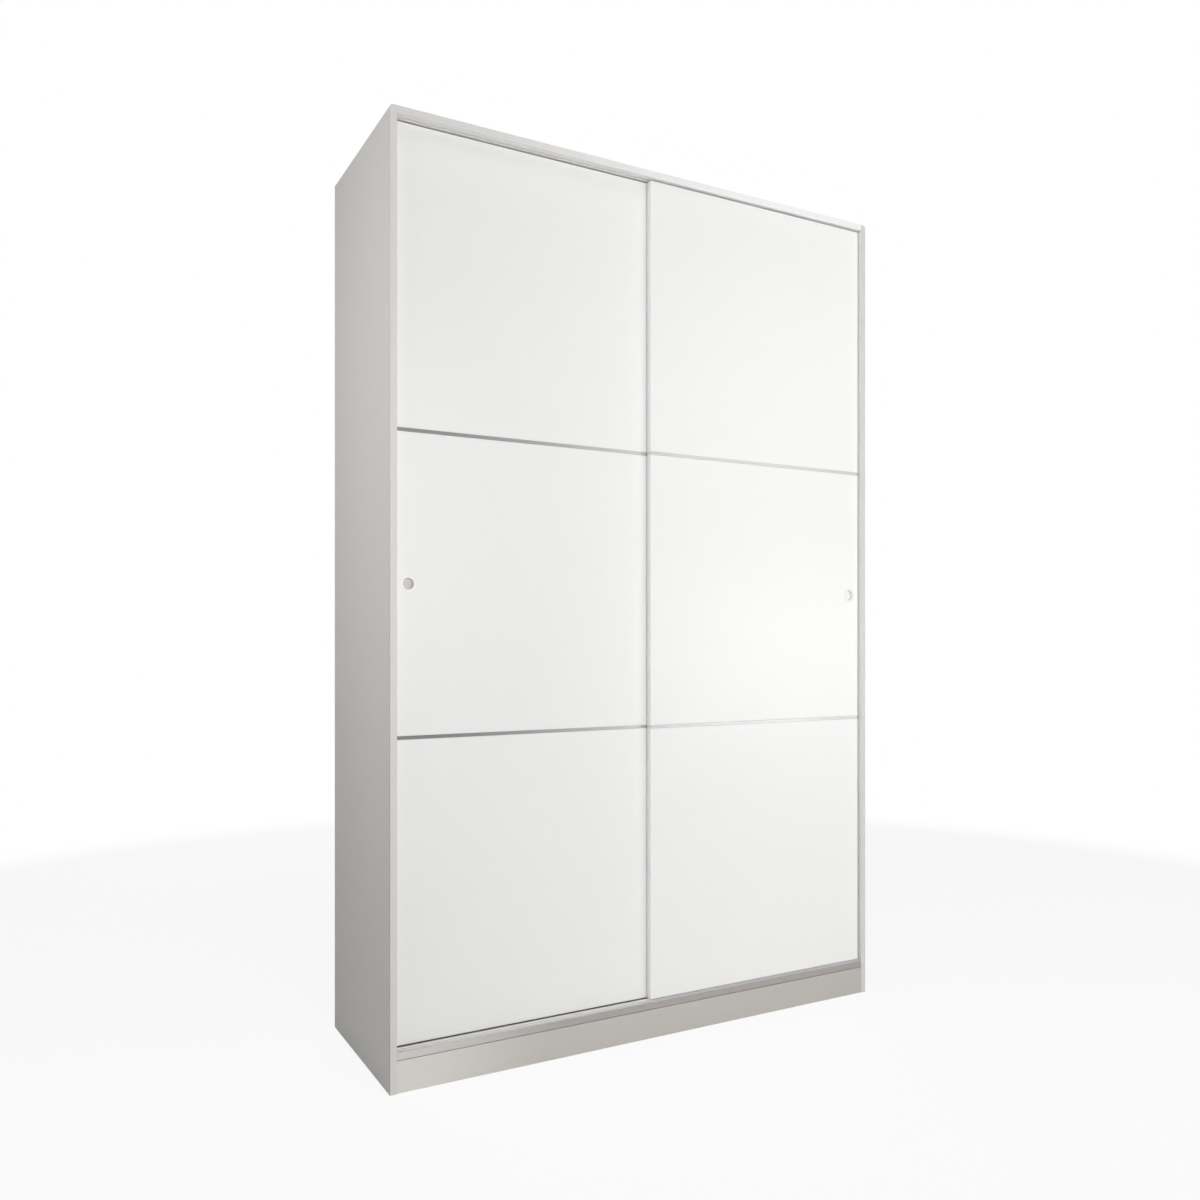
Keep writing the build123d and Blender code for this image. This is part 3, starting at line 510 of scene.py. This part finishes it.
# How far each finish's sharp edges are rounded.
EDGE_ROUNDING = {
    "carcass_board": 0.25 * MM,
    "plinth_board": 0.25 * MM,
    "door_board": 0.25 * MM,
    "aluminium_strip": 0.15 * MM,
    "track_plastic": 0.2 * MM,
    "housing_plastic": 0.3 * MM,
}


def soften(piece, radius):
    """Round the sharp edges a little, so that they catch the light."""
    bevel = piece.modifiers.new("softened_edges", "BEVEL")
    bevel.width = radius
    bevel.segments = 2
    bevel.limit_method = "ANGLE"
    bevel.angle_limit = math.radians(40)
    bevel.harden_normals = True


for subpart in frame["record"]["subparts"]:
    rounding = EDGE_ROUNDING.get(subpart["material_slot"])
    if rounding:
        soften(frame["nodes"][subpart["node"]], rounding)


# ---- Studio --------------------------------------------------------------------------------------------

camera_place = Vector((-1.3428, -2.3554, 0.9641))
camera_turn = math.radians(-29.0)
sensor_width = 36.0
focal_length = 31.06
camera_shift = 0.0334       # the view reaches up a little, with the camera level

floor_radius = 12.0
floor_clear_radius = 1.2    # pale floor with soft shadows out to here
floor_fade_radius = 3.4     # beyond here the camera sees it as bright as the backdrop
floor_albedo = 0.9
floor_lift = 0.9            # how far the camera sees the shadows washed out


def look_at(thing, target):
    thing.rotation_euler = (Vector(target) - thing.location).to_track_quat("-Z", "Y").to_euler()


def add_camera():
    data = bpy.data.cameras.new("camera")
    data.sensor_width = sensor_width
    data.lens = focal_length
    data.shift_y = camera_shift
    data.clip_end = 60
    camera = bpy.data.objects.new("camera", data)
    camera.location = camera_place
    camera.rotation_euler = (math.radians(90), 0, camera_turn)
    bpy.context.scene.collection.objects.link(camera)
    bpy.context.scene.camera = camera


def add_floor():
    """A round pale floor that fades into the white backdrop, with its shadows softened for the camera."""
    bpy.ops.mesh.primitive_circle_add(vertices=96, radius=floor_radius, fill_type="NGON")
    floor = bpy.context.active_object
    floor.name = "floor"
    surface = Surface("floor")
    distance = surface.node(
        "ShaderNodeVectorMath", {0: surface.coordinates.outputs["Object"]}, operation="LENGTH"
    ).outputs["Value"]
    far = surface.between(distance, 0, 1, start=floor_clear_radius, end=floor_fade_radius)
    seen = surface.node("ShaderNodeLightPath").outputs["Is Camera Ray"]
    washed = surface.math("MULTIPLY", seen, surface.math("MAXIMUM", far, floor_lift))
    near_tone = (floor_albedo, floor_albedo, floor_albedo, 1.0)
    surface.colour(surface.blend(washed, near_tone, (0, 0, 0, 1.0)))
    surface.roughness(surface.between(surface.noise(0.4), 0.75, 0.85))
    surface.feed(surface.shader.inputs["Emission Strength"], washed)
    surface.set(Emission_Color=(1, 1, 1, 1), Specular_IOR_Level=0.0)
    floor.data.materials.append(surface.material)


def add_softbox(name, place, target, width, height, power):
    data = bpy.data.lights.new(name, "AREA")
    data.shape = "RECTANGLE"
    data.size = width
    data.size_y = height
    data.energy = power
    light = bpy.data.objects.new(name, data)
    light.location = place
    look_at(light, target)
    bpy.context.scene.collection.objects.link(light)


def add_world():
    """A white backdrop for the camera and a softer, dimmer dome for the light."""
    world = bpy.data.worlds.new("studio")
    bpy.context.scene.world = world
    world.use_nodes = True
    tree = world.node_tree
    dome = tree.nodes["Background"]
    dome.inputs["Strength"].default_value = dome_strength
    backdrop = tree.nodes.new("ShaderNodeBackground")
    mixed = tree.nodes.new("ShaderNodeMixShader")
    rays = tree.nodes.new("ShaderNodeLightPath")
    tree.links.new(rays.outputs["Is Camera Ray"], mixed.inputs["Fac"])
    tree.links.new(dome.outputs["Background"], mixed.inputs[1])
    tree.links.new(backdrop.outputs["Background"], mixed.inputs[2])
    dome.inputs["Color"].default_value = (1, 1, 1, 1)
    backdrop.inputs["Color"].default_value = (1, 1, 1, 1)
    tree.links.new(mixed.outputs["Shader"], tree.nodes["World Output"].inputs["Surface"])


dome_strength = 0.01

bpy.context.scene.view_settings.view_transform = "Standard"
add_camera()
add_world()
add_floor()
add_softbox("front", (-0.3, -5.2, 1.7), (0.0, 0.0, 1.1), 3.0, 2.4, 125)
add_softbox("front_left", (-2.6, -4.6, 1.9), (-0.2, 0.0, 1.1), 2.0, 2.0, 12)
add_softbox("key_high", (2.95, -3.9, 2.5), (0.3, -0.2, 1.2), 2.2, 1.6, 22)
add_softbox("key_low", (3.2, -3.8, 0.9), (0.3, -0.2, 0.8), 1.6, 1.0, 28)
add_softbox("top_front", (0.3, -2.2, 4.4), (0.2, -1.2, 0.0), 2.4, 1.6, 22)
add_softbox("left", (-4.4, -1.6, 3.0), (-0.6, 0.0, 1.5), 2.2, 2.0, 39)
add_softbox("side_strip", (-2.0, -0.22, 1.7), (-0.67, -0.22, 1.6), 0.4, 1.2, 8)
add_softbox("back", (0.8, 4.5, 2.6), (0.0, 0.0, 1.0), 3.0, 2.4, 70)
